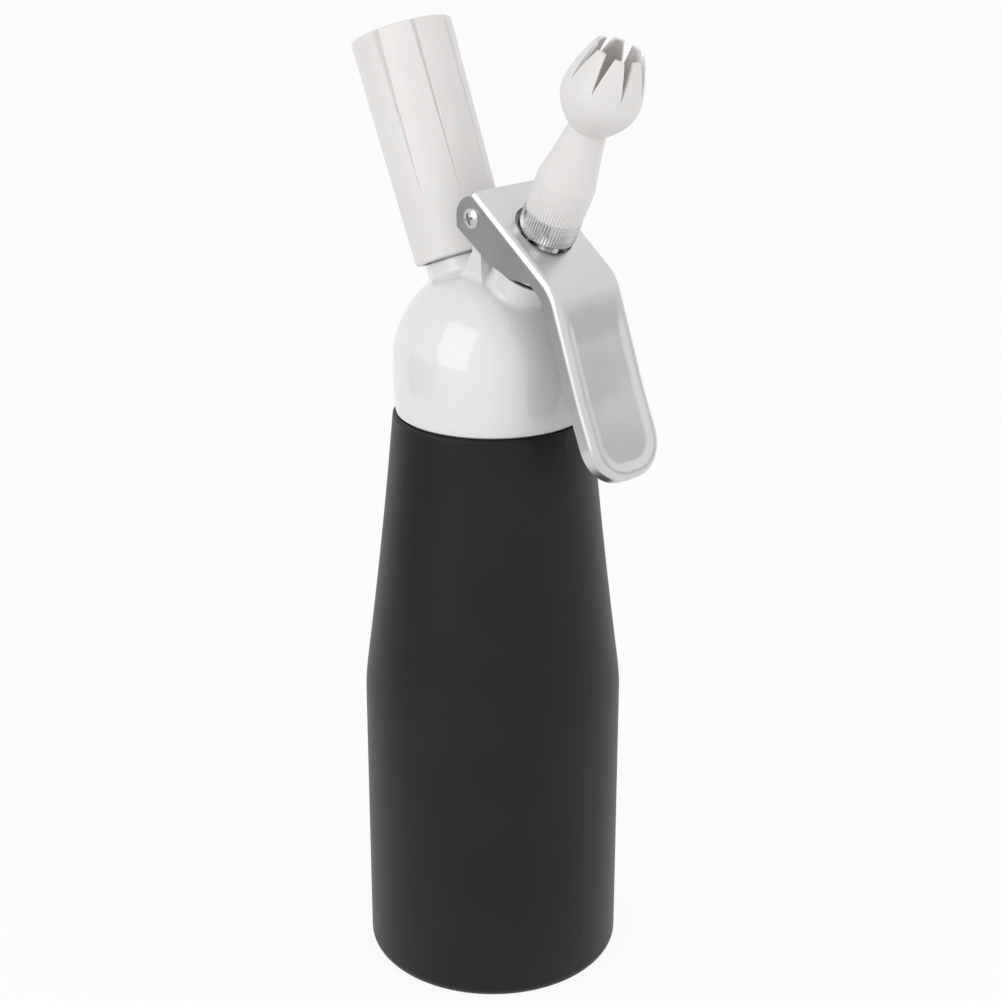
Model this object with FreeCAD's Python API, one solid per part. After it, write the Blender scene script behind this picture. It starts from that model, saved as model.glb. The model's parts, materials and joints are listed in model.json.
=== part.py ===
import FreeCAD, Part
import math
import os

# Whipped cream dispenser: bottle, screw-on head, charger holder, lever valve and piped tip.
# Millimetres. Origin at the middle of the bottle's base, +Z up, lever towards +X.

# Fits
overrun = 1.0
thread_gap = 0.3
seat_gap = 0.05
running_gap = 0.05

# Bottle
bottle_radius = 40.0
bottle_wall = 1.3
bottle_floor = 2.0
base_corner = 4.0
shoulder_start_z = 90.0
shoulder_end_z = 100.0
shoulder_end_radius = 39.3
rim_z = 181.8
rim_radius = 30.0
rim_round = 0.8
cone_hollow = 0.5
neck_radius = 25.5
neck_wall = 3.0
neck_length = 16.2

# Head shell
head_gap = 0.2
head_rim_radius = 29.0
head_radius = 29.7
head_centre_z = 197.5
cavity_radius = 23.0
gasket_thickness = 2.0
rim_bevel = 0.5
skirt_bulge = 0.1
skirt_height = 7.0
root_depth = 2.0
cavity_step = 0.1
on_dome_limit = 0.02

# Charger side of the head
charger_tilt = -22.3
collar_radius = 11.7
collar_rise = 1.8
collar_top = head_radius + collar_rise
spigot_radius = 10.2
spigot_length = 9.5
neck_bore_radius = 5.2
pin_seat = 25.0
gas_bore_radius = 1.9
carrier_length = 4.5
carrier_bore_radius = 1.1
charger_seal_thickness = 1.5
pin_point = 34.0
pin_radius = 1.0
pin_tip_radius = 0.25
check_disc_radius = 5.0
check_disc_thickness = 1.2
check_recess = 0.2
check_plug_gap = 0.5
check_groove_start = 0.3
check_groove_end = 0.8
check_groove_depth = 0.5
carrier_slot = 1.0
carrier_slot_from = 1.8
pin_root = 0.5
pin_taper = 2.5
pin_channel_share = 0.4
pin_channel_offset = 0.3

# Charger holder
holder_gap = 0.7
holder_foot_radius = 14.4
holder_top_radius = 15.2
holder_length = 68.0
holder_crown = 1.0
chamber_radius = 9.7
holder_top_wall = 3.0
flute_count = 8
flute_depth = 1.5
flute_width = 2.6
flute_share = 0.78
flute_turn = 19.0
insert_thickness = 1.6
holder_edge = 0.8
flute_reach = 3.0
flute_root = 0.02
insert_recess = 0.5

# Valve side of the head
valve_tilt = 26.3
valve_axis_x = 1.0
boss_radius = 10.7
boss_rise = 3.8
boss_top = head_radius + boss_rise
boss_fillet = 2.5
collar_fillet = 2.0
valve_bore_radius = 8.0
washer_thickness = 0.8
flange_radius = 10.0
flange_thickness = 1.7
bush_bottom = 24.4
spring_seat = 31.0
spring_well_radius = 6.6
stem_radius = 4.5
stem_bore_radius = 2.0
stem_thread_radius = 4.0
stem_thread_length = 5.5
bush_slot_width = 1.6
bush_slot_depth = 0.8
disc_radius = 6.4
disc_thickness = 2.0
disc_seal_thickness = 1.5
port_radius = 1.1
ring_groove_s = 28.6
ring_groove_width = 1.5
ring_groove_depth = 1.4
spring_wire = 0.9
spring_turns = 4
port_rise = 0.3

# Push collar under the lever
collar_plate = 1.2
ear_rise = 3.4
push_radius = 8.0
ear_radius = 2.0
ear_inner_y = 7.0
ear_outer_y = 10.9

# Spout adapter with the knurled ring
adapter_neck_radius = 5.5
adapter_neck_length = 7.25
adapter_overlap = 0.5
knurl_length = 6.9
knurl_radius = 8.6
knurl_count = 60
knurl_depth = 0.28
spigot_tip_radius = 5.0
spigot_tip_length = 9.0
adapter_bevel = 0.5
tip_ring_wire = 0.7

# Piping tip
tip_base_radius = 8.4
tip_belly_radius = 8.6
tip_belly_rise = 10.5
tip_waist_radius = 7.1
tip_waist_rise = 17.7
tip_neck_radius = 5.5
tip_length = 28.1
bulb_step = 1.1
bulb_step_rise = 0.9
bulb_hip_inset = 2.4
bulb_hip_rise = 3.7
bulb_low_inset = 0.6
bulb_low_rise = 7.0
bulb_radius = 11.3
bulb_widest = 10.2
bulb_high_inset = 0.7
bulb_high_rise = 14.8
bulb_shoulder_inset = 2.1
bulb_shoulder_rise = 19.4
bulb_length = 24.1
bulb_mouth_radius = 7.3
bulb_wall = 1.2
bulb_floor_share = 0.8
petal_count = 8
slit_depth = 10.0
slit_width = 2.8
slit_overrun = 2.0
slit_start = 4.0
tip_passage_radius = 2.6
rib_count = 60
rib_depth = 0.3
rib_end = 0.06
rib_length = 10.0
rib_reach = 0.7
socket_gap = 0.5

# Lever
pivot_x = 5.8
pivot_rise = 15.8
pivot_z = head_centre_z + head_radius + pivot_rise
lever_width = 27.6
lever_sheet = 1.8
lever_edge_round = 2.2
cheek_end_radius = 6.3
plate_angle = 37.0
plate_over_pivot = 6.85
plate_start = -3.8
plate_length = 34.0
bend_radius = 15.0
drop_angle = 70.0
drop_length = 26.0
flare_angle = 67.0
flare_radius = 90.0
flare_length = 21.5
flange_depth = 5.2
end_round = 11.7
hole_radius = 9.2
hole_back = 0.9
cheek_back_drop = 3.2
cheek_slope_start = 3.4
cheek_slope_drop = 9.7
cheek_hip = 8.5
cheek_hip_drop = 12.6
cheek_low_start = 15.5
cheek_low_end = 21.5
cheek_low_drop = 15.0
clear_reach = 150.0
on_top_limit = 0.01

# Pivot
sleeve_radius = 2.5
sleeve_bore_radius = 1.5
sleeve_overhang = 0.1
pivot_head_radius = 2.9
pivot_head_height = 1.5
pivot_head_side = 0.5
pivot_thread_length = 6.0
pivot_slot_length = 3.4
pivot_slot_width = 0.7
pivot_slot_depth = 0.9
pivot_slot_turn = 20.0
washer_radius = 4.4
tower_half_width = 10.6
tower_top_radius = 4.5
tower_depth_in_dome = 4.2
tower_foot_back = 9.0
tower_hip_back = 3.1
tower_hip_drop = 10.3
tower_side_drop = 2.0
tower_front = 0.4
tower_front_drop = 6.8


def point(x, y, z):
    return FreeCAD.Vector(x, y, z)


def on_charger_axis(shape):
    """Stand a shape drawn about Z on the charger's axis."""
    moved = shape.copy()
    moved.rotate(point(0, 0, 0), point(0, 1, 0), charger_tilt)
    moved.translate(point(0, 0, head_centre_z))
    return moved


def on_valve_axis(shape):
    """Stand a shape drawn about Z on the valve's axis."""
    moved = shape.copy()
    moved.rotate(point(0, 0, 0), point(0, 1, 0), valve_tilt)
    moved.translate(point(valve_axis_x, 0, head_centre_z))
    return moved


def turned(outline):
    """Revolve a closed outline of (radius, height) points, straight from point to point."""
    corners = [point(r, 0, z) for r, z in outline]
    face = Part.Face(Part.makePolygon(corners + corners[:1]))
    return face.revolve(point(0, 0, 0), point(0, 0, 1), 360)


def turned_edges(edges):
    face = Part.Face(Part.Wire(edges))
    return face.revolve(point(0, 0, 0), point(0, 0, 1), 360)


def line(a, b):
    return Part.LineSegment(point(a[0], 0, a[1]), point(b[0], 0, b[1])).toShape()


def arc(a, middle, b):
    ends = [point(p[0], 0, p[1]) for p in (a, middle, b)]
    return Part.Arc(*ends).toShape()


def curve(points):
    spline = Part.BSplineCurve()
    spline.interpolate([point(r, 0, z) for r, z in points])
    return spline.toShape()


def cap_arc(radius, low, height):
    """The side view of a shallow round cap, from its edge to its middle on the axis."""
    cap_radius = (radius ** 2 + height ** 2) / (2 * height)
    half_angle = math.asin(radius / cap_radius) / 2
    centre = low + height - cap_radius
    middle = (cap_radius * math.sin(half_angle), centre + cap_radius * math.cos(half_angle))
    return arc((radius, low), middle, (0, low + height))


def tube(outer, inner, low, high):
    return turned([(inner, low), (outer, low), (outer, high), (inner, high)])


def rod(radius, low, high):
    return Part.makeCylinder(radius, high - low, point(0, 0, low))


def wire_ring(radius, wire_radius, height):
    return Part.makeTorus(radius, wire_radius, point(0, 0, height))


def save(name, shape):
    shape.exportStep("parts/" + name + ".step")
    print(name, len(shape.Solids), "solid", round(shape.Volume, 1), "mm3", shape.isValid())


# Bottle
def cone_middle(inset):
    middle_z = (shoulder_end_z + rim_z) / 2
    middle_radius = (shoulder_end_radius + rim_radius) / 2 - cone_hollow
    return (middle_radius - inset, middle_z)


def shoulder_middle(inset):
    middle_z = (shoulder_start_z + shoulder_end_z) / 2
    drop = (bottle_radius - shoulder_end_radius) / 4
    return (bottle_radius - drop - inset, middle_z)


def corner_middle(centre_r, centre_z, radius, angle):
    a = math.radians(angle)
    return (centre_r + radius * math.cos(a), centre_z + radius * math.sin(a))


def make_bottle():
    neck_top = rim_z + neck_length
    neck_bore = neck_radius - neck_wall
    inner_radius = bottle_radius - bottle_wall
    inner_corner = base_corner - bottle_wall
    rim_inner = rim_radius - bottle_wall
    inner_rim_z = rim_z - neck_wall
    cone_start = shoulder_end_radius - bottle_wall
    outside = [
        line((0, 0), (bottle_radius - base_corner, 0)),
        arc((bottle_radius - base_corner, 0),
            corner_middle(bottle_radius - base_corner, base_corner, base_corner, -45),
            (bottle_radius, base_corner)),
        line((bottle_radius, base_corner), (bottle_radius, shoulder_start_z)),
        arc((bottle_radius, shoulder_start_z), shoulder_middle(0),
            (shoulder_end_radius, shoulder_end_z)),
        arc((shoulder_end_radius, shoulder_end_z), cone_middle(0),
            (rim_radius, rim_z - rim_round)),
        arc((rim_radius, rim_z - rim_round),
            corner_middle(rim_radius - rim_round, rim_z - rim_round, rim_round, 45),
            (rim_radius - rim_round, rim_z)),
        line((rim_radius - rim_round, rim_z), (neck_radius, rim_z)),
        line((neck_radius, rim_z), (neck_radius, neck_top)),
        line((neck_radius, neck_top), (neck_bore, neck_top)),
    ]
    inside = [
        line((neck_bore, neck_top), (neck_bore, inner_rim_z)),
        line((neck_bore, inner_rim_z), (rim_inner, inner_rim_z - (rim_inner - neck_bore))),
        arc((rim_inner, inner_rim_z - (rim_inner - neck_bore)), cone_middle(bottle_wall),
            (cone_start, shoulder_end_z)),
        arc((cone_start, shoulder_end_z), shoulder_middle(bottle_wall),
            (inner_radius, shoulder_start_z)),
        line((inner_radius, shoulder_start_z), (inner_radius, bottle_floor + inner_corner)),
        arc((inner_radius, bottle_floor + inner_corner),
            corner_middle(inner_radius - inner_corner, bottle_floor + inner_corner,
                          inner_corner, -45),
            (inner_radius - inner_corner, bottle_floor)),
        line((inner_radius - inner_corner, bottle_floor), (0, bottle_floor)),
        line((0, bottle_floor), (0, 0)),
    ]
    return turned_edges(outside + inside)


# Head
head_rim_z = rim_z + head_gap
neck_top_z = rim_z + neck_length
gasket_seat_z = neck_top_z + gasket_thickness
skirt_bore_radius = neck_radius + thread_gap
spigot_top = collar_top + spigot_length
check_face = cavity_radius + check_recess


def tower_outline():
    """Side view of the lug that carries the lever, from the dome up to the pivot."""
    foot_z = head_centre_z + head_radius - tower_depth_in_dome
    foot_left = (pivot_x - tower_foot_back, foot_z)
    hip_left = (pivot_x - tower_hip_back, pivot_z - tower_hip_drop)
    side_left = (pivot_x - tower_top_radius, pivot_z - tower_side_drop)
    top_left = (pivot_x - tower_top_radius, pivot_z)
    crown = (pivot_x, pivot_z + tower_top_radius)
    top_right = (pivot_x + tower_top_radius, pivot_z)
    side_right = (pivot_x + tower_front, pivot_z - tower_front_drop)
    foot_right = (pivot_x + tower_front, foot_z)
    return [
        line(foot_left, hip_left),
        line(hip_left, side_left),
        line(side_left, top_left),
        arc(top_left, crown, top_right),
        line(top_right, side_right),
        line(side_right, foot_right),
        line(foot_right, foot_left),
    ]


def blended(dome, growth, radius):
    """Join a boss or lug to the dome with a rounded foot."""
    body = dome.fuse(growth).removeSplitter()
    centre = point(0, 0, head_centre_z)
    foot = []
    for edge in body.Edges:
        low, high = edge.ParameterRange
        samples = [edge.valueAt(low + (high - low) * part / 4) for part in range(5)]
        on_dome = all(abs(p.distanceToPoint(centre) - head_radius) < on_dome_limit for p in samples)
        above = all(p.z > head_centre_z + skirt_height for p in samples)
        if on_dome and above:
            foot.append(edge)
    return body.makeFillet(radius, foot)


def make_head():
    rim = (head_rim_radius, head_rim_z)
    top = head_centre_z + head_radius
    dome = turned_edges([
        line((0, head_rim_z), (head_rim_radius - rim_bevel, head_rim_z)),
        line((head_rim_radius - rim_bevel, head_rim_z), (rim[0], rim[1] + rim_bevel)),
        arc((rim[0], rim[1] + rim_bevel),
            (head_radius - skirt_bulge, head_centre_z - skirt_height),
            (head_radius, head_centre_z)),
        arc((head_radius, head_centre_z),
            corner_middle(0, head_centre_z, head_radius, 45),
            (0, top)),
        line((0, top), (0, head_rim_z)),
    ])
    core = cavity_radius - root_depth
    collar = on_charger_axis(rod(collar_radius, core, collar_top))
    boss = on_valve_axis(rod(boss_radius, core, boss_top))
    tower_face = Part.Face(Part.Wire(tower_outline()))
    tower_face.translate(point(0, -tower_half_width, 0))
    tower = tower_face.extrude(point(0, 2 * tower_half_width, 0))
    shell = blended(dome, boss, boss_fillet)
    shell = shell.fuse(blended(dome, collar, collar_fillet))
    shell = shell.fuse(blended(dome, tower, boss_fillet)).removeSplitter()

    spigot = on_charger_axis(rod(spigot_radius, core, spigot_top))
    shell = shell.fuse(spigot)
    cavity = Part.makeSphere(cavity_radius, point(0, 0, head_centre_z))
    throat = rod(cavity_radius - cavity_step, head_rim_z - overrun, gasket_seat_z)
    skirt_bore = rod(skirt_bore_radius, head_rim_z - overrun, gasket_seat_z)
    gas_bore = on_charger_axis(rod(gas_bore_radius, 0, pin_seat + overrun))
    neck_bore = on_charger_axis(rod(neck_bore_radius, pin_seat, spigot_top + overrun))
    check_pocket = on_charger_axis(rod(check_disc_radius + thread_gap, 0, check_face))
    valve_bore = on_valve_axis(rod(valve_bore_radius, 0, boss_top + overrun))
    pivot_bore = Part.makeCylinder(sleeve_radius + seat_gap, 4 * tower_half_width,
                                   point(pivot_x, -2 * tower_half_width, pivot_z), point(0, 1, 0))
    for hollow in (cavity, throat, skirt_bore, gas_bore, neck_bore, check_pocket, valve_bore,
                   pivot_bore):
        shell = shell.cut(hollow)
    return shell


def make_head_gasket():
    return tube(neck_radius, cavity_radius, neck_top_z, gasket_seat_z)


# Charger side
carrier_top = pin_seat + carrier_length
seal_top = carrier_top + charger_seal_thickness


def make_pin_carrier():
    body = tube(neck_bore_radius - seat_gap, carrier_bore_radius, pin_seat, carrier_top)
    for side in (-1, 1):
        start = carrier_slot_from if side > 0 else -carrier_slot_from - 2 * neck_bore_radius
        corner = point(start, -carrier_slot / 2, carrier_top - carrier_slot)
        body = body.cut(Part.makeBox(2 * neck_bore_radius, carrier_slot, carrier_slot, corner))
    return on_charger_axis(body)


def make_piercing_pin():
    shank = carrier_bore_radius - seat_gap
    outline = [
        (0, pin_seat + pin_root), (shank, pin_seat + pin_root), (shank, carrier_top + pin_root),
        (pin_radius, carrier_top + pin_root), (pin_radius, pin_point - pin_taper),
        (pin_tip_radius, pin_point), (0, pin_point),
    ]
    needle = turned(outline)
    channel = Part.makeCylinder(pin_radius * pin_channel_share, pin_point,
                                point(pin_radius * pin_channel_offset, 0, pin_seat))
    return on_charger_axis(needle.cut(channel))


def make_charger_seal():
    ring = tube(neck_bore_radius - seat_gap, pin_radius + thread_gap, carrier_top, seal_top)
    return on_charger_axis(ring)


def make_check_valve():
    disc_low = check_face - check_disc_thickness
    disc = rod(check_disc_radius, disc_low, check_face)
    plug = rod(gas_bore_radius - seat_gap, disc_low, pin_seat - check_plug_gap)
    groove = tube(gas_bore_radius, gas_bore_radius - check_groove_depth,
                  check_face + check_groove_start, pin_seat - check_groove_end)
    return on_charger_axis(disc.fuse(plug).cut(groove))


# Charger holder
holder_foot = collar_top + holder_gap
holder_top = holder_foot + holder_length
chamber_top = holder_top - holder_top_wall
insert_outer = spigot_radius + thread_gap + insert_thickness


def flute_section(root, reach, half, height):
    tip = point(root, 0, height)
    left = point(root + reach, -half, height)
    right = point(root + reach, half, height)
    return Part.makePolygon([tip, left, right, tip])


def make_holder():
    rim = holder_top_radius - holder_edge
    body = turned_edges([
        line((0, holder_foot), (holder_foot_radius - holder_edge, holder_foot)),
        arc((holder_foot_radius - holder_edge, holder_foot),
            corner_middle(holder_foot_radius - holder_edge, holder_foot + holder_edge,
                          holder_edge, -45),
            (holder_foot_radius, holder_foot + holder_edge)),
        line((holder_foot_radius, holder_foot + holder_edge),
             (holder_top_radius, holder_top - holder_edge)),
        arc((holder_top_radius, holder_top - holder_edge),
            corner_middle(rim, holder_top - holder_edge, holder_edge, 45),
            (rim, holder_top)),
        cap_arc(rim, holder_top, holder_crown),
        line((0, holder_top + holder_crown), (0, holder_foot)),
    ])
    body = body.cut(rod(chamber_radius, holder_foot - overrun, chamber_top))
    insert_room = rod(insert_outer + seat_gap, holder_foot - overrun, spigot_top + thread_gap)
    body = body.cut(insert_room)

    # tapering flutes, deepest at the top rim and running out towards the foot
    flute_low = holder_top - flute_share * holder_length
    foot_radius_there = holder_foot_radius + (holder_top_radius - holder_foot_radius) * (
        1 - flute_share)
    half = flute_width / 2
    top_z = holder_top + holder_crown + overrun
    deep = holder_top_radius - flute_depth
    spread = (flute_depth + flute_reach) / flute_depth
    low_wire = flute_section(foot_radius_there - flute_root, flute_reach, half, flute_low)
    high_wire = flute_section(deep, flute_depth + flute_reach, half * spread, top_z)
    flute = Part.makeLoft([low_wire, high_wire], True, True)
    for k in range(flute_count):
        one = flute.copy()
        one.rotate(point(0, 0, 0), point(0, 0, 1), flute_turn + 360 / flute_count * k)
        body = body.cut(one)
    return on_charger_axis(body)


def make_holder_insert():
    ring = tube(insert_outer, spigot_radius + thread_gap, holder_foot + insert_recess, spigot_top)
    return on_charger_axis(ring)


# Dispensing valve
def ear_centre_s():
    """Height on the valve axis where the ears touch the lever plate's underside."""
    slope = math.radians(plate_angle - valve_tilt)
    rise = pivot_z - head_centre_z
    aside = pivot_x - valve_axis_x
    tilt = math.radians(valve_tilt)
    pivot_e = aside * math.cos(tilt) - rise * math.sin(tilt)
    pivot_s = aside * math.sin(tilt) + rise * math.cos(tilt)
    under = plate_over_pivot - lever_sheet
    across = -pivot_e * math.sin(slope)
    return pivot_s + (under - across - ear_radius - running_gap) / math.cos(slope)


ear_s = ear_centre_s()
stem_shoulder = ear_s - ear_rise
knurl_bottom = stem_shoulder + adapter_neck_length
flange_low = boss_top + washer_thickness
flange_high = flange_low + flange_thickness
disc_top = bush_bottom - disc_seal_thickness
disc_low = disc_top - disc_thickness
stem_top = stem_shoulder + stem_thread_length
port_s = bush_bottom + port_radius + port_rise
groove_radius = stem_radius - ring_groove_depth
collar_high = stem_shoulder + collar_plate
knurl_top = knurl_bottom + knurl_length
spout_top = knurl_top + spigot_tip_length


def make_valve_bush():
    outline = [
        (stem_radius + running_gap, bush_bottom),
        (valve_bore_radius - seat_gap, bush_bottom),
        (valve_bore_radius - seat_gap, flange_low),
        (flange_radius, flange_low),
        (flange_radius, flange_high),
        (spring_well_radius, flange_high),
        (spring_well_radius, spring_seat),
        (stem_radius + running_gap, spring_seat),
    ]
    bush = turned(outline)
    for turn in (0, 90):
        corner = point(-flange_radius - overrun, -bush_slot_width / 2,
                       flange_high - bush_slot_depth)
        slot = Part.makeBox(2 * (flange_radius + overrun), bush_slot_width, bush_slot_depth,
                            corner)
        slot.rotate(point(0, 0, 0), point(0, 0, 1), turn + 45)
        bush = bush.cut(slot)
    return on_valve_axis(bush)


def make_bush_washer():
    ring = tube(flange_radius, valve_bore_radius + seat_gap, boss_top, flange_low)
    return on_valve_axis(ring)


def make_valve_stem():
    outline = [
        (0, disc_low), (disc_radius, disc_low), (disc_radius, disc_top),
        (stem_radius, disc_top),
        (stem_radius, ring_groove_s), (groove_radius, ring_groove_s),
        (groove_radius, ring_groove_s + ring_groove_width),
        (stem_radius, ring_groove_s + ring_groove_width),
        (stem_radius, stem_shoulder), (stem_thread_radius, stem_shoulder),
        (stem_thread_radius, stem_top), (0, stem_top),
    ]
    stem = turned(outline)
    stem = stem.cut(rod(stem_bore_radius, bush_bottom, stem_top + overrun))
    for turn in (0, 90):
        port = Part.makeCylinder(port_radius, 4 * stem_radius,
                                 point(-2 * stem_radius, 0, port_s), point(1, 0, 0))
        port.rotate(point(0, 0, 0), point(0, 0, 1), turn)
        stem = stem.cut(port)
    return on_valve_axis(stem)


def make_disc_seal():
    ring = tube(disc_radius, stem_radius + seat_gap, disc_top, bush_bottom)
    return on_valve_axis(ring)


def make_stem_ring():
    wire_radius = (ring_groove_depth - seat_gap) / 2
    middle = groove_radius + ring_groove_depth / 2
    ring = wire_ring(middle, wire_radius, ring_groove_s + ring_groove_width / 2)
    return on_valve_axis(ring)


def make_valve_spring():
    wire_radius = spring_wire / 2
    coil_radius = (stem_radius + spring_well_radius) / 2
    low = spring_seat + wire_radius + seat_gap
    height = stem_shoulder - wire_radius - seat_gap - low
    helix = Part.makeLongHelix(height / spring_turns, height, coil_radius)
    helix.translate(point(0, 0, low))
    section = Part.Wire(Part.makeCircle(wire_radius, point(coil_radius, 0, low), point(0, 1, 0)))
    coil = Part.Wire(helix.Edges).makePipeShell([section], True, True)
    return on_valve_axis(coil)


def make_push_collar():
    ring = tube(push_radius, stem_thread_radius + seat_gap, stem_shoulder, collar_high)
    for side in (-1, 1):
        start = ear_inner_y if side > 0 else -ear_outer_y
        ear = Part.makeCylinder(ear_radius, ear_outer_y - ear_inner_y,
                                point(0, start, ear_s), point(0, 1, 0))
        foot = Part.makeBox(2 * ear_radius, ear_outer_y - ear_inner_y, ear_s - stem_shoulder,
                            point(-ear_radius, start, stem_shoulder))
        ring = ring.fuse([ear, foot])
    ring = ring.cut(rod(adapter_neck_radius + thread_gap, collar_high, knurl_bottom))
    return on_valve_axis(ring.removeSplitter())


def ridged_face(outer, depth, count):
    """A round face whose edge is cut into fine pointed ridges."""
    corners = []
    for k in range(2 * count):
        radius = outer if k % 2 == 0 else outer - depth
        a = math.pi * k / count
        corners.append(point(radius * math.cos(a), radius * math.sin(a), 0))
    return Part.Face(Part.makePolygon(corners + corners[:1]))


def make_spout_adapter():
    neck = rod(adapter_neck_radius, collar_high, knurl_bottom + adapter_overlap)
    ring = ridged_face(knurl_radius, knurl_depth, knurl_count).extrude(point(0, 0, knurl_length))
    ring.translate(point(0, 0, knurl_bottom))
    limit = turned([
        (0, knurl_bottom), (knurl_radius - adapter_bevel, knurl_bottom),
        (knurl_radius, knurl_bottom + adapter_bevel),
        (knurl_radius, knurl_top - adapter_bevel),
        (knurl_radius - adapter_bevel, knurl_top), (0, knurl_top),
    ])
    spout = rod(spigot_tip_radius, knurl_top - adapter_overlap, spout_top)
    body = ring.common(limit).fuse([neck, spout])
    thread_room = rod(stem_thread_radius + seat_gap, collar_high - overrun, stem_top + thread_gap)
    body = body.cut(thread_room)
    body = body.cut(rod(stem_bore_radius, collar_high, spout_top + overrun))
    return on_valve_axis(body.removeSplitter())


def make_tip_ring():
    middle = spigot_tip_radius + tip_ring_wire + seat_gap
    ring = wire_ring(middle, tip_ring_wire, knurl_top + tip_ring_wire + seat_gap)
    return on_valve_axis(ring)


# Piping tip
tip_foot = knurl_top + seat_gap
tip_neck_s = tip_foot + tip_length
bulb_top = tip_neck_s + bulb_length


def bulb_profile(inset):
    """Egg-shaped side of the bulb from its neck to its mouth, as (radius, height) points."""
    floor = tip_neck_s + inset * bulb_floor_share
    return [
        (tip_neck_radius + bulb_step - inset, floor + bulb_step_rise),
        (bulb_radius - bulb_hip_inset - inset, floor + bulb_hip_rise),
        (bulb_radius - bulb_low_inset - inset, tip_neck_s + bulb_low_rise + inset),
        (bulb_radius - inset, tip_neck_s + bulb_widest),
        (bulb_radius - bulb_high_inset - inset, tip_neck_s + bulb_high_rise),
        (bulb_radius - bulb_shoulder_inset - inset, tip_neck_s + bulb_shoulder_rise),
        (bulb_mouth_radius - inset, bulb_top),
    ]


def make_tip():
    outer = bulb_profile(0)
    inner = bulb_profile(bulb_wall)
    socket_radius = spigot_tip_radius + thread_gap
    socket_top = spout_top + socket_gap
    passage = tip_passage_radius
    ring_room = spigot_tip_radius + 2 * tip_ring_wire + thread_gap
    ring_room_top = knurl_top + 2 * tip_ring_wire + thread_gap
    body = turned_edges([
        line((ring_room, tip_foot), (tip_base_radius, tip_foot)),
        line((tip_base_radius, tip_foot), (tip_belly_radius, tip_foot + tip_belly_rise)),
        arc((tip_belly_radius, tip_foot + tip_belly_rise),
            (tip_waist_radius, tip_foot + tip_waist_rise),
            (tip_neck_radius, tip_neck_s)),
        line((tip_neck_radius, tip_neck_s), outer[0]),
        curve(outer),
        line(outer[-1], inner[-1]),
        curve(inner[::-1]),
        line(inner[0], (passage, inner[0][1])),
        line((passage, inner[0][1]), (passage, socket_top)),
        line((passage, socket_top), (socket_radius, socket_top)),
        line((socket_radius, socket_top), (socket_radius, ring_room_top)),
        line((socket_radius, ring_room_top), (ring_room, ring_room_top)),
        line((ring_room, ring_room_top), (ring_room, tip_foot)),
    ])

    # V-shaped slits part the rim into petals
    slit_low = bulb_top - slit_depth
    slit_high = bulb_top + slit_overrun
    half = slit_width / 2 * (slit_depth + slit_overrun) / slit_depth
    slit_from = bulb_mouth_radius - slit_start
    low = point(slit_from, 0, slit_low)
    left = point(slit_from, half, slit_high)
    right = point(slit_from, -half, slit_high)
    slit_wire = Part.makePolygon([low, left, right, low])
    slit = Part.Face(slit_wire).extrude(point(bulb_radius, 0, 0))
    for k in range(petal_count):
        one = slit.copy()
        one.rotate(point(0, 0, 0), point(0, 0, 1), 360 / petal_count * (k + 0.5))
        body = body.cut(one)

    # fine grip ribs that run out up the cone
    rib_lean = (tip_belly_radius + rib_end - tip_base_radius + rib_depth) / rib_length
    rib_root = tip_base_radius - rib_depth - rib_lean * overrun
    notch_wire = flute_section(rib_root, rib_reach, rib_reach / 2, tip_foot - overrun)
    notch_way = point(rib_lean * (rib_length + overrun), 0, rib_length + overrun)
    notch = Part.Face(notch_wire).extrude(notch_way)
    for k in range(rib_count):
        one = notch.copy()
        one.rotate(point(0, 0, 0), point(0, 0, 1), 360 / rib_count * (k + 0.5))
        body = body.cut(one)
    return on_valve_axis(body)


# Lever
def heading(angle):
    a = math.radians(angle)
    return (math.cos(a), -math.sin(a))


def lever_path(inset):
    """Side view of the plate's upper face, or of a face the given depth below it."""
    ahead = heading(plate_angle)
    out = (-ahead[1], ahead[0])
    over = plate_over_pivot - inset
    start = (pivot_x + out[0] * over + ahead[0] * plate_start,
             pivot_z + out[1] * over + ahead[1] * plate_start)
    bend_start = (start[0] + ahead[0] * plate_length, start[1] + ahead[1] * plate_length)
    stations = [start, bend_start]
    edges = [line(start, bend_start)]
    place = bend_start
    angle = plate_angle
    for radius, next_angle, length in ((bend_radius, drop_angle, drop_length),
                                       (-flare_radius, flare_angle, flare_length)):
        ahead = heading(angle)
        out = (-ahead[1], ahead[0])
        arm = radius - inset
        centre = (place[0] - out[0] * arm, place[1] - out[1] * arm)
        ways = []
        for part in (0.5, 1.0):
            turned_angle = angle + (next_angle - angle) * part
            face = heading(turned_angle)
            ways.append((centre[0] - face[1] * arm, centre[1] + face[0] * arm))
        edges.append(arc(place, ways[0], ways[1]))
        ahead = heading(next_angle)
        end = (ways[1][0] + ahead[0] * length, ways[1][1] + ahead[1] * length)
        edges.append(line(ways[1], end))
        stations.extend([ways[1], end])
        place = end
        angle = next_angle
    return edges, stations


def paddle_plan(inset, reach, depth):
    """The plan shape of the lever seen square to its paddle, rounded at the free end."""
    half = lever_width / 2 - inset
    radius = end_round - inset
    end = -inset
    k = radius * (1 - math.sqrt(0.5))
    edges = []
    corners = [
        (-reach, -half), (end - radius, -half), (end, -half + radius),
        (end, half - radius), (end - radius, half), (-reach, half),
    ]
    middles = {1: (end - k, -half + k), 3: (end - k, half - k)}
    for n in range(len(corners)):
        a = corners[n]
        b = corners[(n + 1) % len(corners)]
        start = point(a[0], a[1], 0)
        finish = point(b[0], b[1], 0)
        if n in middles:
            middle = point(middles[n][0], middles[n][1], 0)
            edges.append(Part.Arc(start, middle, finish).toShape())
        else:
            edges.append(Part.LineSegment(start, finish).toShape())
    plan = Part.Face(Part.Wire(edges))
    plan.translate(point(0, 0, -depth))
    return plan.extrude(point(0, 0, 2 * depth))


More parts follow.
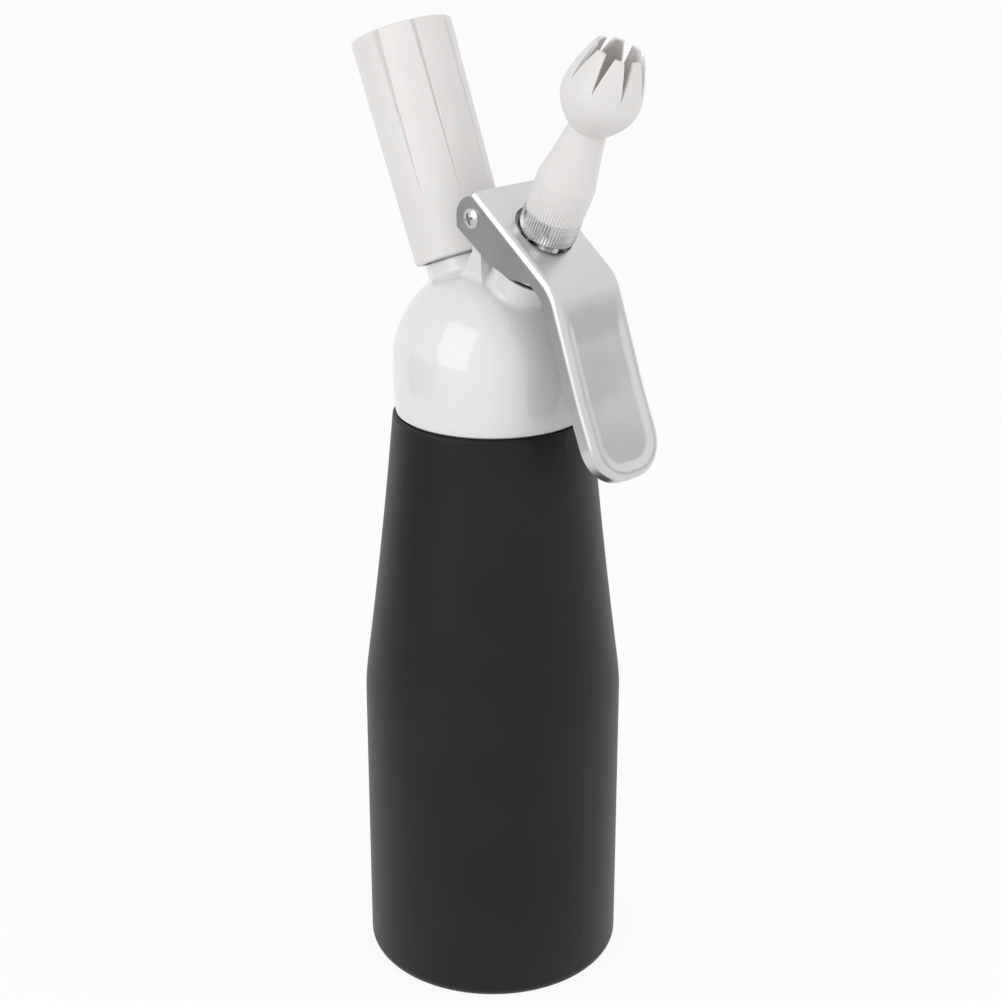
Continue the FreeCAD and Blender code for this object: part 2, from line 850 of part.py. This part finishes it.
def on_paddle(shape):
    """Move a shape drawn in the plan of the paddle to the paddle's free end."""
    end = lever_path(0)[1][-1]
    moved = shape.copy()
    moved.rotate(point(0, 0, 0), point(0, 1, 0), flare_angle)
    moved.translate(point(end[0], 0, end[1]))
    return moved


def extruded(edges, half):
    face = Part.Face(Part.Wire(edges))
    face.translate(point(0, -half, 0))
    return face.extrude(point(0, 2 * half, 0))


def joined(first, second):
    """Close the band between two side-view paths."""
    edges = first[0] + second[0]
    edges.append(line(first[1][0], second[1][0]))
    edges.append(line(first[1][-1], second[1][-1]))
    return Part.__sortEdges__(edges)


def side_distance(place, path):
    """Distance in the side view from a point to a path."""
    return Part.Vertex(place.x, 0, place.z).distToShape(path)[0]


def make_lever():
    half = lever_width / 2
    band = extruded(joined(lever_path(0), lever_path(flange_depth)), half)
    ahead = heading(plate_angle)
    down = (ahead[1], -ahead[0])
    start = lever_path(0)[1][0]
    bend = lever_path(0)[1][1]

    # the deep cheeks that reach the pivot
    cheek = [
        (start[0], start[1]),
        (pivot_x - cheek_end_radius, pivot_z),
        (pivot_x - cheek_end_radius, pivot_z - cheek_back_drop),
        (pivot_x + cheek_slope_start, pivot_z - cheek_slope_drop),
        (pivot_x + cheek_hip, pivot_z - cheek_hip_drop),
        (pivot_x + cheek_low_start, pivot_z - cheek_low_drop),
        (pivot_x + cheek_low_end, pivot_z - cheek_low_drop),
        (bend[0] + down[0] * lever_edge_round, bend[1] + down[1] * lever_edge_round),
    ]
    cheek_edges = [line(cheek[n], cheek[(n + 1) % len(cheek)]) for n in range(len(cheek))]
    cheeks = extruded(cheek_edges, half)
    eye = Part.makeCylinder(cheek_end_radius, 2 * half, point(pivot_x, -half, pivot_z),
                            point(0, 1, 0))
    body = band.fuse([cheeks, eye]).removeSplitter()
    body = body.common(on_paddle(paddle_plan(0, clear_reach, clear_reach)))

    # the pressed-over long edges
    rounded = []
    top = Part.Compound(lever_path(0)[0])
    for edge in body.Edges:
        low, high = edge.ParameterRange
        samples = [edge.valueAt(low + (high - low) * part / 4) for part in range(5)]
        on_top = all(side_distance(p, top) < on_top_limit for p in samples)
        lengthwise = edge.BoundBox.YLength < 2 * half - lever_sheet
        if on_top and lengthwise:
            rounded.append(edge)
    body = body.makeFillet(lever_edge_round, rounded)

    # the hollow below the sheet
    under = lever_path(lever_sheet)
    first = under[1][0]
    last = under[1][-1]
    lead = (first[0] - down[0] * clear_reach, first[1] - down[1] * clear_reach)
    far_high = (first[0] - clear_reach, lead[1])
    far_low = (first[0] - clear_reach, last[1])
    hollow_edges = under[0] + [
        line(last, far_low), line(far_low, far_high), line(far_high, lead), line(lead, first),
    ]
    hollow = extruded(Part.__sortEdges__(hollow_edges), half - lever_sheet)
    hollow = hollow.common(on_paddle(paddle_plan(lever_sheet, clear_reach, clear_reach)))
    body = body.cut(hollow)

    # the hole round the spout
    tilt = math.radians(valve_tilt)
    axis_x = math.sin(tilt)
    axis_z = math.cos(tilt)
    slope = math.radians(plate_angle)
    aside = pivot_x - valve_axis_x
    across = aside * math.sin(slope) + (pivot_z - head_centre_z) * math.cos(slope)
    along = (across + plate_over_pivot) / (axis_x * math.sin(slope) + axis_z * math.cos(slope))
    centre_x = valve_axis_x + along * axis_x - ahead[0] * hole_back
    centre_z = head_centre_z + along * axis_z - ahead[1] * hole_back
    below = point(centre_x + down[0] * hole_radius, 0, centre_z + down[1] * hole_radius)
    hole = Part.makeCylinder(hole_radius, 2 * hole_radius, below, point(-down[0], 0, -down[1]))
    body = body.cut(hole)
    eye_hole = Part.makeCylinder(sleeve_radius + running_gap, 2 * lever_width,
                                 point(pivot_x, -lever_width, pivot_z), point(0, 1, 0))
    return body.cut(eye_hole)


# Pivot
sleeve_half = lever_width / 2 + sleeve_overhang


def make_pivot_sleeve():
    outer = Part.makeCylinder(sleeve_radius, 2 * sleeve_half,
                              point(pivot_x, -sleeve_half, pivot_z), point(0, 1, 0))
    bore = Part.makeCylinder(sleeve_bore_radius, 2 * sleeve_half,
                             point(pivot_x, -sleeve_half, pivot_z), point(0, 1, 0))
    return outer.cut(bore)


def make_pivot_screw():
    """A pan-headed screw along -Y, its head's seat at the origin."""
    edge = pivot_head_radius
    head = turned_edges([
        line((0, 0), (edge, 0)),
        line((edge, 0), (edge, pivot_head_side)),
        cap_arc(edge, pivot_head_side, pivot_head_height - pivot_head_side),
        line((0, pivot_head_height), (0, 0)),
    ])
    shank = rod(sleeve_bore_radius - seat_gap, -pivot_thread_length, pivot_head_side)
    screw = head.fuse(shank)
    for turn in (0, 90):
        corner = point(-pivot_slot_length / 2, -pivot_slot_width / 2,
                       pivot_head_height - pivot_slot_depth)
        arm = Part.makeBox(pivot_slot_length, pivot_slot_width, overrun, corner)
        arm.rotate(point(0, 0, 0), point(0, 0, 1), turn + pivot_slot_turn)
        screw = screw.cut(arm)
    screw.rotate(point(0, 0, 0), point(1, 0, 0), 90)
    return screw


def make_pivot_screws():
    near = make_pivot_screw()
    near.translate(point(pivot_x, -sleeve_half, pivot_z))
    far = make_pivot_screw()
    far.rotate(point(0, 0, 0), point(0, 0, 1), 180)
    far.translate(point(pivot_x, sleeve_half, pivot_z))
    return Part.makeCompound([near, far])


def make_pivot_washers():
    thickness = lever_width / 2 - lever_sheet - tower_half_width - seat_gap
    rings = []
    for side in (-1, 1):
        start = tower_half_width if side > 0 else -tower_half_width - thickness
        disc = Part.makeCylinder(washer_radius, thickness, point(pivot_x, start, pivot_z),
                                 point(0, 1, 0))
        hole = Part.makeCylinder(sleeve_radius + seat_gap, thickness,
                                 point(pivot_x, start, pivot_z), point(0, 1, 0))
        rings.append(disc.cut(hole))
    return Part.makeCompound(rings)


os.makedirs("parts", exist_ok=True)
save("bottle", make_bottle())
save("head", make_head())
save("head_gasket", make_head_gasket())
save("pin_carrier", make_pin_carrier())
save("piercing_pin", make_piercing_pin())
save("charger_seal", make_charger_seal())
save("check_valve", make_check_valve())
save("charger_holder", make_holder())
save("holder_insert", make_holder_insert())
save("valve_bush", make_valve_bush())
save("bush_washer", make_bush_washer())
save("valve_stem", make_valve_stem())
save("disc_seal", make_disc_seal())
save("stem_ring", make_stem_ring())
save("valve_spring", make_valve_spring())
save("push_collar", make_push_collar())
save("spout_adapter", make_spout_adapter())
save("tip_ring", make_tip_ring())
save("piping_tip", make_tip())
save("lever", make_lever())
save("pivot_sleeve", make_pivot_sleeve())
save("pivot_screws", make_pivot_screws())
save("pivot_washers", make_pivot_washers())
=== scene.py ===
import json
import math
import bmesh
import bpy
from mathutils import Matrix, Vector


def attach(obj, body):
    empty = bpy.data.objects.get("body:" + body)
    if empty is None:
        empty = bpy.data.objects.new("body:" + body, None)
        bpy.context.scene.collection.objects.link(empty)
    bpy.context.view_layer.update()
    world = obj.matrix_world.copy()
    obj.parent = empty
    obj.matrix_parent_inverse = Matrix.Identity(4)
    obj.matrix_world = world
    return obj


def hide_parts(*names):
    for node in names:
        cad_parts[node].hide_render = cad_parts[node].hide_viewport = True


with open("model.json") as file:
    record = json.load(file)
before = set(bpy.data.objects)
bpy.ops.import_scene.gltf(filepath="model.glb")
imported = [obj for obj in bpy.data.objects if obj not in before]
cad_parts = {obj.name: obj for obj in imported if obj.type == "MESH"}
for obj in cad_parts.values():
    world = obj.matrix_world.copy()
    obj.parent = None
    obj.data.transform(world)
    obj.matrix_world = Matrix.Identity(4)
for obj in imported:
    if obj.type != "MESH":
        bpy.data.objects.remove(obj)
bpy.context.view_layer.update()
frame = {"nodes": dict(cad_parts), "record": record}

nodes = frame["nodes"]
mm = 0.001


# camera, worked out from the bottle's outline in the photograph
cameraSetup = {
    "frameWidth": 1001, "focalPixels": 1955.0, "sensor": 36.0,
    "distance": 560.0, "height": 363.0, "sideStep": 2.45,
    "azimuth": -45.0, "pitch": 20.6,
}


def placeCamera(c):
    data = bpy.data.cameras.new("photoCamera")
    data.sensor_width = c["sensor"]
    data.lens = c["focalPixels"] / c["frameWidth"] * c["sensor"]
    data.clip_start = 0.01
    data.clip_end = 20.0
    cam = bpy.data.objects.new("photoCamera", data)
    bpy.context.scene.collection.objects.link(cam)
    a = math.radians(c["azimuth"])
    toward = Vector((math.cos(a), math.sin(a), 0))
    aside = Vector((-math.sin(a), math.cos(a), 0))
    height = Vector((0, 0, c["height"]))
    cam.location = (toward * c["distance"] + aside * c["sideStep"] + height) * mm
    p = math.radians(c["pitch"])
    look = -toward * math.cos(p) - Vector((0, 0, math.sin(p)))
    cam.rotation_mode = "QUATERNION"
    cam.rotation_quaternion = look.to_track_quat("-Z", "Y")
    bpy.context.scene.camera = cam


placeCamera(cameraSetup)
bpy.context.scene.view_settings.view_transform = "Standard"
print("camera placed")


# small helpers for node materials
class Recipe:
    def __init__(self, name):
        self.mat = bpy.data.materials.new(name)
        self.mat.use_nodes = True
        self.tree = self.mat.node_tree
        self.skin = self.tree.nodes["Principled BSDF"]
        self.coords = self.tree.nodes.new("ShaderNodeTexCoord").outputs["Object"]

    def fixed(self, **values):  # values that are the same all over the surface
        for key, value in values.items():
            self.skin.inputs[key.replace("_", " ")].default_value = value
        return self

    def link(self, a, b):
        self.tree.links.new(a, b)

    def noise(self, scale, detail=2.0, stretch=None):
        tex = self.tree.nodes.new("ShaderNodeTexNoise")
        tex.inputs["Scale"].default_value = scale
        tex.inputs["Detail"].default_value = detail
        if stretch:
            mapping = self.tree.nodes.new("ShaderNodeMapping")
            mapping.inputs["Scale"].default_value = stretch
            self.link(self.coords, mapping.inputs["Vector"])
            self.link(mapping.outputs["Vector"], tex.inputs["Vector"])
        else:
            self.link(self.coords, tex.inputs["Vector"])
        return tex.outputs["Fac"]

    def ramp(self, fac, stops):
        node = self.tree.nodes.new("ShaderNodeValToRGB")
        while len(node.color_ramp.elements) < len(stops):
            node.color_ramp.elements.new(0.5)
        for element, (place, tint) in zip(node.color_ramp.elements, stops):
            element.position = place
            element.color = (*tint, 1.0) if len(tint) == 3 else tint
        self.link(fac, node.inputs["Fac"])
        return node.outputs["Color"]

    def spread(self, fac, low, high):
        node = self.tree.nodes.new("ShaderNodeMapRange")
        node.inputs["To Min"].default_value = low
        node.inputs["To Max"].default_value = high
        self.link(fac, node.inputs["Value"])
        return node.outputs["Result"]

    def bump(self, fac, strength, distance):
        node = self.tree.nodes.new("ShaderNodeBump")
        node.inputs["Strength"].default_value = strength
        node.inputs["Distance"].default_value = distance
        self.link(fac, node.inputs["Height"])
        self.link(node.outputs["Normal"], self.skin.inputs["Normal"])


def grey(v):
    return (v, v, v)


# finishes
bottleCoat = {
    "dark": 0.009, "pale": 0.013, "roughness": (0.40, 0.46), "specular": 0.22, "mottle": 35.0,
    "grain": 2600.0, "grainStrength": 0.05, "grainDepth": 0.0001,
}


def mattBlackCoat(c):
    r = Recipe("mattBlackCoat").fixed(Specular_IOR_Level=c["specular"])
    mottle = r.noise(c["mottle"], 3.0)
    r.link(r.ramp(mottle, [(0.35, grey(c["dark"])), (0.7, grey(c["pale"]))]),
           r.skin.inputs["Base Color"])
    r.link(r.spread(mottle, *c["roughness"]), r.skin.inputs["Roughness"])
    r.bump(r.noise(c["grain"], 1.0), c["grainStrength"], c["grainDepth"])
    return r.mat


headGloss = {
    "low": (0.80, 0.80, 0.81), "high": (0.84, 0.84, 0.85), "roughness": (0.10, 0.14),
    "coat": 0.3, "coatRoughness": 0.05, "mottle": 18.0,
    "wave": 220.0, "waveStrength": 0.04, "waveDepth": 0.0002,
}


def glossWhiteCoat(c):
    r = Recipe("glossWhiteCoat").fixed(Specular_IOR_Level=0.5, Coat_Weight=c["coat"],
                                       Coat_Roughness=c["coatRoughness"])
    mottle = r.noise(c["mottle"], 2.0)
    r.link(r.ramp(mottle, [(0.3, c["low"]), (0.7, c["high"])]), r.skin.inputs["Base Color"])
    r.link(r.spread(mottle, *c["roughness"]), r.skin.inputs["Roughness"])
    r.bump(r.noise(c["wave"], 2.0), c["waveStrength"], c["waveDepth"])
    return r.mat


whiteMoulding = {
    "low": (0.80, 0.775, 0.765), "high": (0.84, 0.82, 0.81), "roughness": (0.36, 0.44),
    "specular": 0.45, "depthShare": 0.08, "depthScale": 0.004, "mottle": 30.0,
    "grain": 900.0, "grainStrength": 0.06, "grainDepth": 0.0001,
}


def satinWhitePlastic(c):
    r = Recipe("satinWhitePlastic").fixed(Specular_IOR_Level=c["specular"],
                                          Subsurface_Weight=c["depthShare"],
                                          Subsurface_Scale=c["depthScale"])
    mottle = r.noise(c["mottle"], 3.0)
    r.link(r.ramp(mottle, [(0.3, c["low"]), (0.7, c["high"])]), r.skin.inputs["Base Color"])
    r.link(r.spread(mottle, *c["roughness"]), r.skin.inputs["Roughness"])
    r.bump(r.noise(c["grain"], 2.0), c["grainStrength"], c["grainDepth"])
    return r.mat


leverMetal = {
    "low": 0.62, "high": 0.68, "roughness": (0.27, 0.33), "streak": 60.0,
    "grain": 1800.0, "grainStrength": 0.10, "grainDepth": 0.00005,
}


def satinAlloy(c):
    r = Recipe("satinAlloy").fixed(Metallic=1.0)
    streak = r.noise(c["streak"], 3.0)
    r.link(r.ramp(streak, [(0.3, grey(c["low"])), (0.7, grey(c["high"]))]),
           r.skin.inputs["Base Color"])
    r.link(r.spread(streak, *c["roughness"]), r.skin.inputs["Roughness"])
    r.bump(r.noise(c["grain"], 2.0), c["grainStrength"], c["grainDepth"])
    return r.mat


latheMarks = {"scale": 90.0, "squeeze": (1.0, 1.0, 14.0), "strength": 0.08, "depth": 0.00005}


def turnedMetal(name, low, high, rough):
    r = Recipe(name).fixed(Metallic=1.0)
    lathe = r.noise(latheMarks["scale"], 4.0, latheMarks["squeeze"])
    r.link(r.ramp(lathe, [(0.3, low), (0.7, high)]), r.skin.inputs["Base Color"])
    r.link(r.spread(lathe, *rough), r.skin.inputs["Roughness"])
    r.bump(lathe, latheMarks["strength"], latheMarks["depth"])
    return r.mat


rubberDust = {
    "scale": 260.0, "specular": 0.35, "roughness": (0.5, 0.65), "strength": 0.1, "depth": 0.0001,
}


def rubber(name, low, high):
    r = Recipe(name).fixed(Specular_IOR_Level=rubberDust["specular"])
    dust = r.noise(rubberDust["scale"], 3.0)
    r.link(r.ramp(dust, [(0.35, low), (0.75, high)]), r.skin.inputs["Base Color"])
    r.link(r.spread(dust, *rubberDust["roughness"]), r.skin.inputs["Roughness"])
    r.bump(dust, rubberDust["strength"], rubberDust["depth"])
    return r.mat


finishes = {
    "bottle_black": mattBlackCoat(bottleCoat),
    "head_white": glossWhiteCoat(headGloss),
    "white_plastic": satinWhitePlastic(whiteMoulding),
    "satin_alloy": satinAlloy(leverMetal),
    "nickel": turnedMetal("platedRing", grey(0.52), grey(0.62), (0.16, 0.24)),
    "steel": turnedMetal("stainless", grey(0.50), grey(0.60), (0.22, 0.32)),
    "alloy": turnedMetal("turnedAlloy", grey(0.60), grey(0.70), (0.28, 0.36)),
    # brass darkened far below its own tone: painted shade, so the bush under the lever shows as
    # the dark shade there
    "brass": turnedMetal("shadeDarkenedBrass", (0.34, 0.25, 0.12), (0.44, 0.33, 0.17), (0.30, 0.40)),
    "silicone": rubber("milkySilicone", (0.62, 0.62, 0.58), (0.70, 0.70, 0.66)),
    "seal_black": rubber("blackSeal", grey(0.025), grey(0.04)),
    "nylon": rubber("naturalNylon", (0.66, 0.65, 0.60), (0.74, 0.73, 0.69)),
}
for part in frame["record"]["subparts"]:
    node = nodes[part["node"]]
    node.data.materials.clear()
    node.data.materials.append(finishes[part["material_slot"]])
print("finishes made")


# lever: the sheet again, with the hollow pressed into its paddle
leverPress = {
    "slope": 68.5, "rim": 2.6, "endRim": 2.6, "halfWidth": 13.8,
    "endRound": 11.7, "depth": 0.8, "ramp": 2.4, "fadeFrom": 40.0, "fadeTo": 51.0,
    "grain": 0.7, "facing": 0.8, "length": 56.0, "sharp": 32.0,
}


def smooth(share):
    share = min(max(share, 0.0), 1.0)
    return share * share * (3 - 2 * share)


def insidePress(c, u, v):  # how far a place lies inside the outline of the hollow
    half = c["halfWidth"] - c["rim"]
    corner = c["endRound"] - c["rim"]
    back = u - c["endRim"] - corner
    side = abs(v) - (half - corner)
    if back < 0 and side > 0:
        return corner - math.hypot(back, side)
    return min(half - abs(v), u - c["endRim"])


def pressLever(c):
    source = nodes["lever"]
    bm = bmesh.new()
    bm.from_mesh(source.data)
    bm.transform(source.matrix_world)
    a = math.radians(c["slope"])
    up = Vector((-math.cos(a), 0, math.sin(a)))  # along the paddle, away from its free end
    out = Vector((math.sin(a), 0, math.cos(a)))  # square to the paddle
    end = up * min(v.co.dot(up) for v in bm.verts)

    def topFaces():
        return [f for f in bm.faces
                if f.normal.dot(out) > c["facing"]
                and (f.calc_center_median() - end).dot(up) < c["length"] * mm]

    def cut(place, way):
        faces = topFaces()
        edges = {e for f in faces for e in f.edges}
        corners = {v for f in faces for v in f.verts}
        geom = list(edges | corners) + faces
        bmesh.ops.bisect_plane(bm, geom=geom, dist=1e-7, plane_co=place, plane_no=way)

    bm.normal_update()
    for n in range(1, int(c["length"] / c["grain"])):
        cut(end + up * (n * c["grain"] * mm), up)
    rows = int(c["halfWidth"] / c["grain"])
    for n in range(-rows, rows + 1):
        cut(Vector((0, n * c["grain"] * mm, 0)), Vector((0, 1, 0)))

    bm.normal_update()
    for v in {v for f in topFaces() for v in f.verts}:
        u = (v.co - end).dot(up) / mm
        deep = smooth(insidePress(c, u, v.co.y / mm) / c["ramp"])
        deep *= smooth((c["fadeTo"] - u) / (c["fadeTo"] - c["fadeFrom"]))
        v.co -= out * (c["depth"] * deep * mm)
    mesh = bpy.data.meshes.new("pressedLever")
    bm.to_mesh(mesh)
    bm.free()
    for face in mesh.polygons:
        face.use_smooth = True
    mesh.set_sharp_from_angle(angle=math.radians(c["sharp"]))
    piece = bpy.data.objects.new("pressedLever", mesh)
    bpy.context.scene.collection.objects.link(piece)
    mesh.materials.append(finishes["satin_alloy"])
    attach(piece, "lever")
    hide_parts("lever")
    print("lever pressed", len(mesh.vertices))


pressLever(leverPress)


# floor and light
studio = {
    "floorSize": 6.0, "floorTone": 0.85, "floorGlow": 0.92, "worldLight": 0.60,
    "keyPower": 3.0, "keySize": (0.66, 0.78), "keyPlace": (-0.017, -0.84, 0.59),
    "fillPower": 4.5, "fillSize": (0.8, 1.0), "fillPlace": (1.2, 0.25, 0.7),
    "aim": (0.0, 0.0, 0.17), "cardTurn": (0.05, 0.0, 0.205),
    "backCard": {"place": (0.50, 0.40, 0.25), "size": (0.42, 0.20), "tone": 0.80},
    "frontCard": {"place": (-0.36, -0.42, 0.02), "size": (0.5, 0.4), "tone": 0.34},
}


def softbox(name, power, size, place, aim):
    data = bpy.data.lights.new(name, "AREA")
    data.shape = "RECTANGLE"
    data.size, data.size_y = size
    data.energy = power
    lamp = bpy.data.objects.new(name, data)
    lamp.location = place
    lamp.rotation_mode = "QUATERNION"
    lamp.rotation_quaternion = (Vector(aim) - Vector(place)).to_track_quat("-Z", "Y")
    bpy.context.scene.collection.objects.link(lamp)
    return lamp


def standCard(name, c, turn):  # a grey card beside the set, which only the metal shows
    wide, high = (side / 2 for side in c["size"])
    mesh = bpy.data.meshes.new(name)
    corners = [(-wide, -high, 0), (wide, -high, 0), (wide, high, 0), (-wide, high, 0)]
    mesh.from_pydata(corners, [], [(0, 1, 2, 3)])
    card = bpy.data.objects.new(name, mesh)
    card.location = c["place"]
    card.rotation_mode = "QUATERNION"
    card.rotation_quaternion = (Vector(turn) - Vector(c["place"])).to_track_quat("Z", "Y")
    card.visible_camera = False
    card.visible_shadow = False
    card.visible_diffuse = False
    bpy.context.scene.collection.objects.link(card)
    mat = bpy.data.materials.new(name)
    mat.use_nodes = True
    felt = mat.node_tree.nodes["Principled BSDF"]
    felt.inputs["Base Color"].default_value = (*grey(c["tone"]), 1)
    felt.inputs["Roughness"].default_value = 0.9
    mesh.materials.append(mat)


def lightStudio(s):
    half = s["floorSize"] / 2
    mesh = bpy.data.meshes.new("studioFloor")
    corners = [(-half, -half, 0), (half, -half, 0), (half, half, 0), (-half, half, 0)]
    mesh.from_pydata(corners, [], [(0, 1, 2, 3)])
    floor = bpy.data.objects.new("studioFloor", mesh)
    bpy.context.scene.collection.objects.link(floor)
    mat = bpy.data.materials.new("paleFloor")
    mat.use_nodes = True
    t = mat.node_tree
    t.nodes.clear()
    out = t.nodes.new("ShaderNodeOutputMaterial")
    matt = t.nodes.new("ShaderNodeBsdfDiffuse")
    matt.inputs["Color"].default_value = (*grey(s["floorTone"]), 1)
    glow = t.nodes.new("ShaderNodeEmission")
    glow.inputs["Strength"].default_value = 1.0
    path = t.nodes.new("ShaderNodeLightPath")
    mix = t.nodes.new("ShaderNodeMixShader")
    share = t.nodes.new("ShaderNodeMath")
    share.operation = "MULTIPLY"
    share.inputs[1].default_value = s["floorGlow"]
    seen = t.nodes.new("ShaderNodeMath")
    seen.operation = "MAXIMUM"
    t.links.new(path.outputs["Is Camera Ray"], seen.inputs[0])
    t.links.new(path.outputs["Is Glossy Ray"], seen.inputs[1])
    t.links.new(seen.outputs[0], share.inputs[0])
    t.links.new(share.outputs[0], mix.inputs["Fac"])
    t.links.new(matt.outputs[0], mix.inputs[1])
    t.links.new(glow.outputs[0], mix.inputs[2])
    t.links.new(mix.outputs[0], out.inputs["Surface"])
    mesh.materials.append(mat)

    world = bpy.data.worlds.new("whiteRoom")
    bpy.context.scene.world = world
    world.use_nodes = True
    w = world.node_tree
    w.nodes.clear()
    out = w.nodes.new("ShaderNodeOutputWorld")
    path = w.nodes.new("ShaderNodeLightPath")
    seen = w.nodes.new("ShaderNodeMath")
    seen.operation = "MAXIMUM"
    both = w.nodes.new("ShaderNodeMath")
    both.operation = "MAXIMUM"
    w.links.new(path.outputs["Is Camera Ray"], seen.inputs[0])
    w.links.new(path.outputs["Is Glossy Ray"], seen.inputs[1])
    w.links.new(seen.outputs[0], both.inputs[0])
    w.links.new(path.outputs["Is Transmission Ray"], both.inputs[1])
    dim = w.nodes.new("ShaderNodeBackground")
    dim.inputs["Strength"].default_value = s["worldLight"]
    white = w.nodes.new("ShaderNodeBackground")
    white.inputs["Strength"].default_value = 1.0
    for node in (dim, white):
        node.inputs["Color"].default_value = (1, 1, 1, 1)
    mix = w.nodes.new("ShaderNodeMixShader")
    w.links.new(both.outputs[0], mix.inputs["Fac"])
    w.links.new(dim.outputs[0], mix.inputs[1])
    w.links.new(white.outputs[0], mix.inputs[2])
    w.links.new(mix.outputs[0], out.inputs["Surface"])

    softbox("keySoftbox", s["keyPower"], s["keySize"], s["keyPlace"], s["aim"])
    fill = softbox("fillSoftbox", s["fillPower"], s["fillSize"], s["fillPlace"], s["aim"])
    fill.visible_glossy = False  # it brightens the right side without a streak on the lever
    for name in ("backCard", "frontCard"):
        standCard(name, s[name], s["cardTurn"])


lightStudio(studio)
print("studio lit")
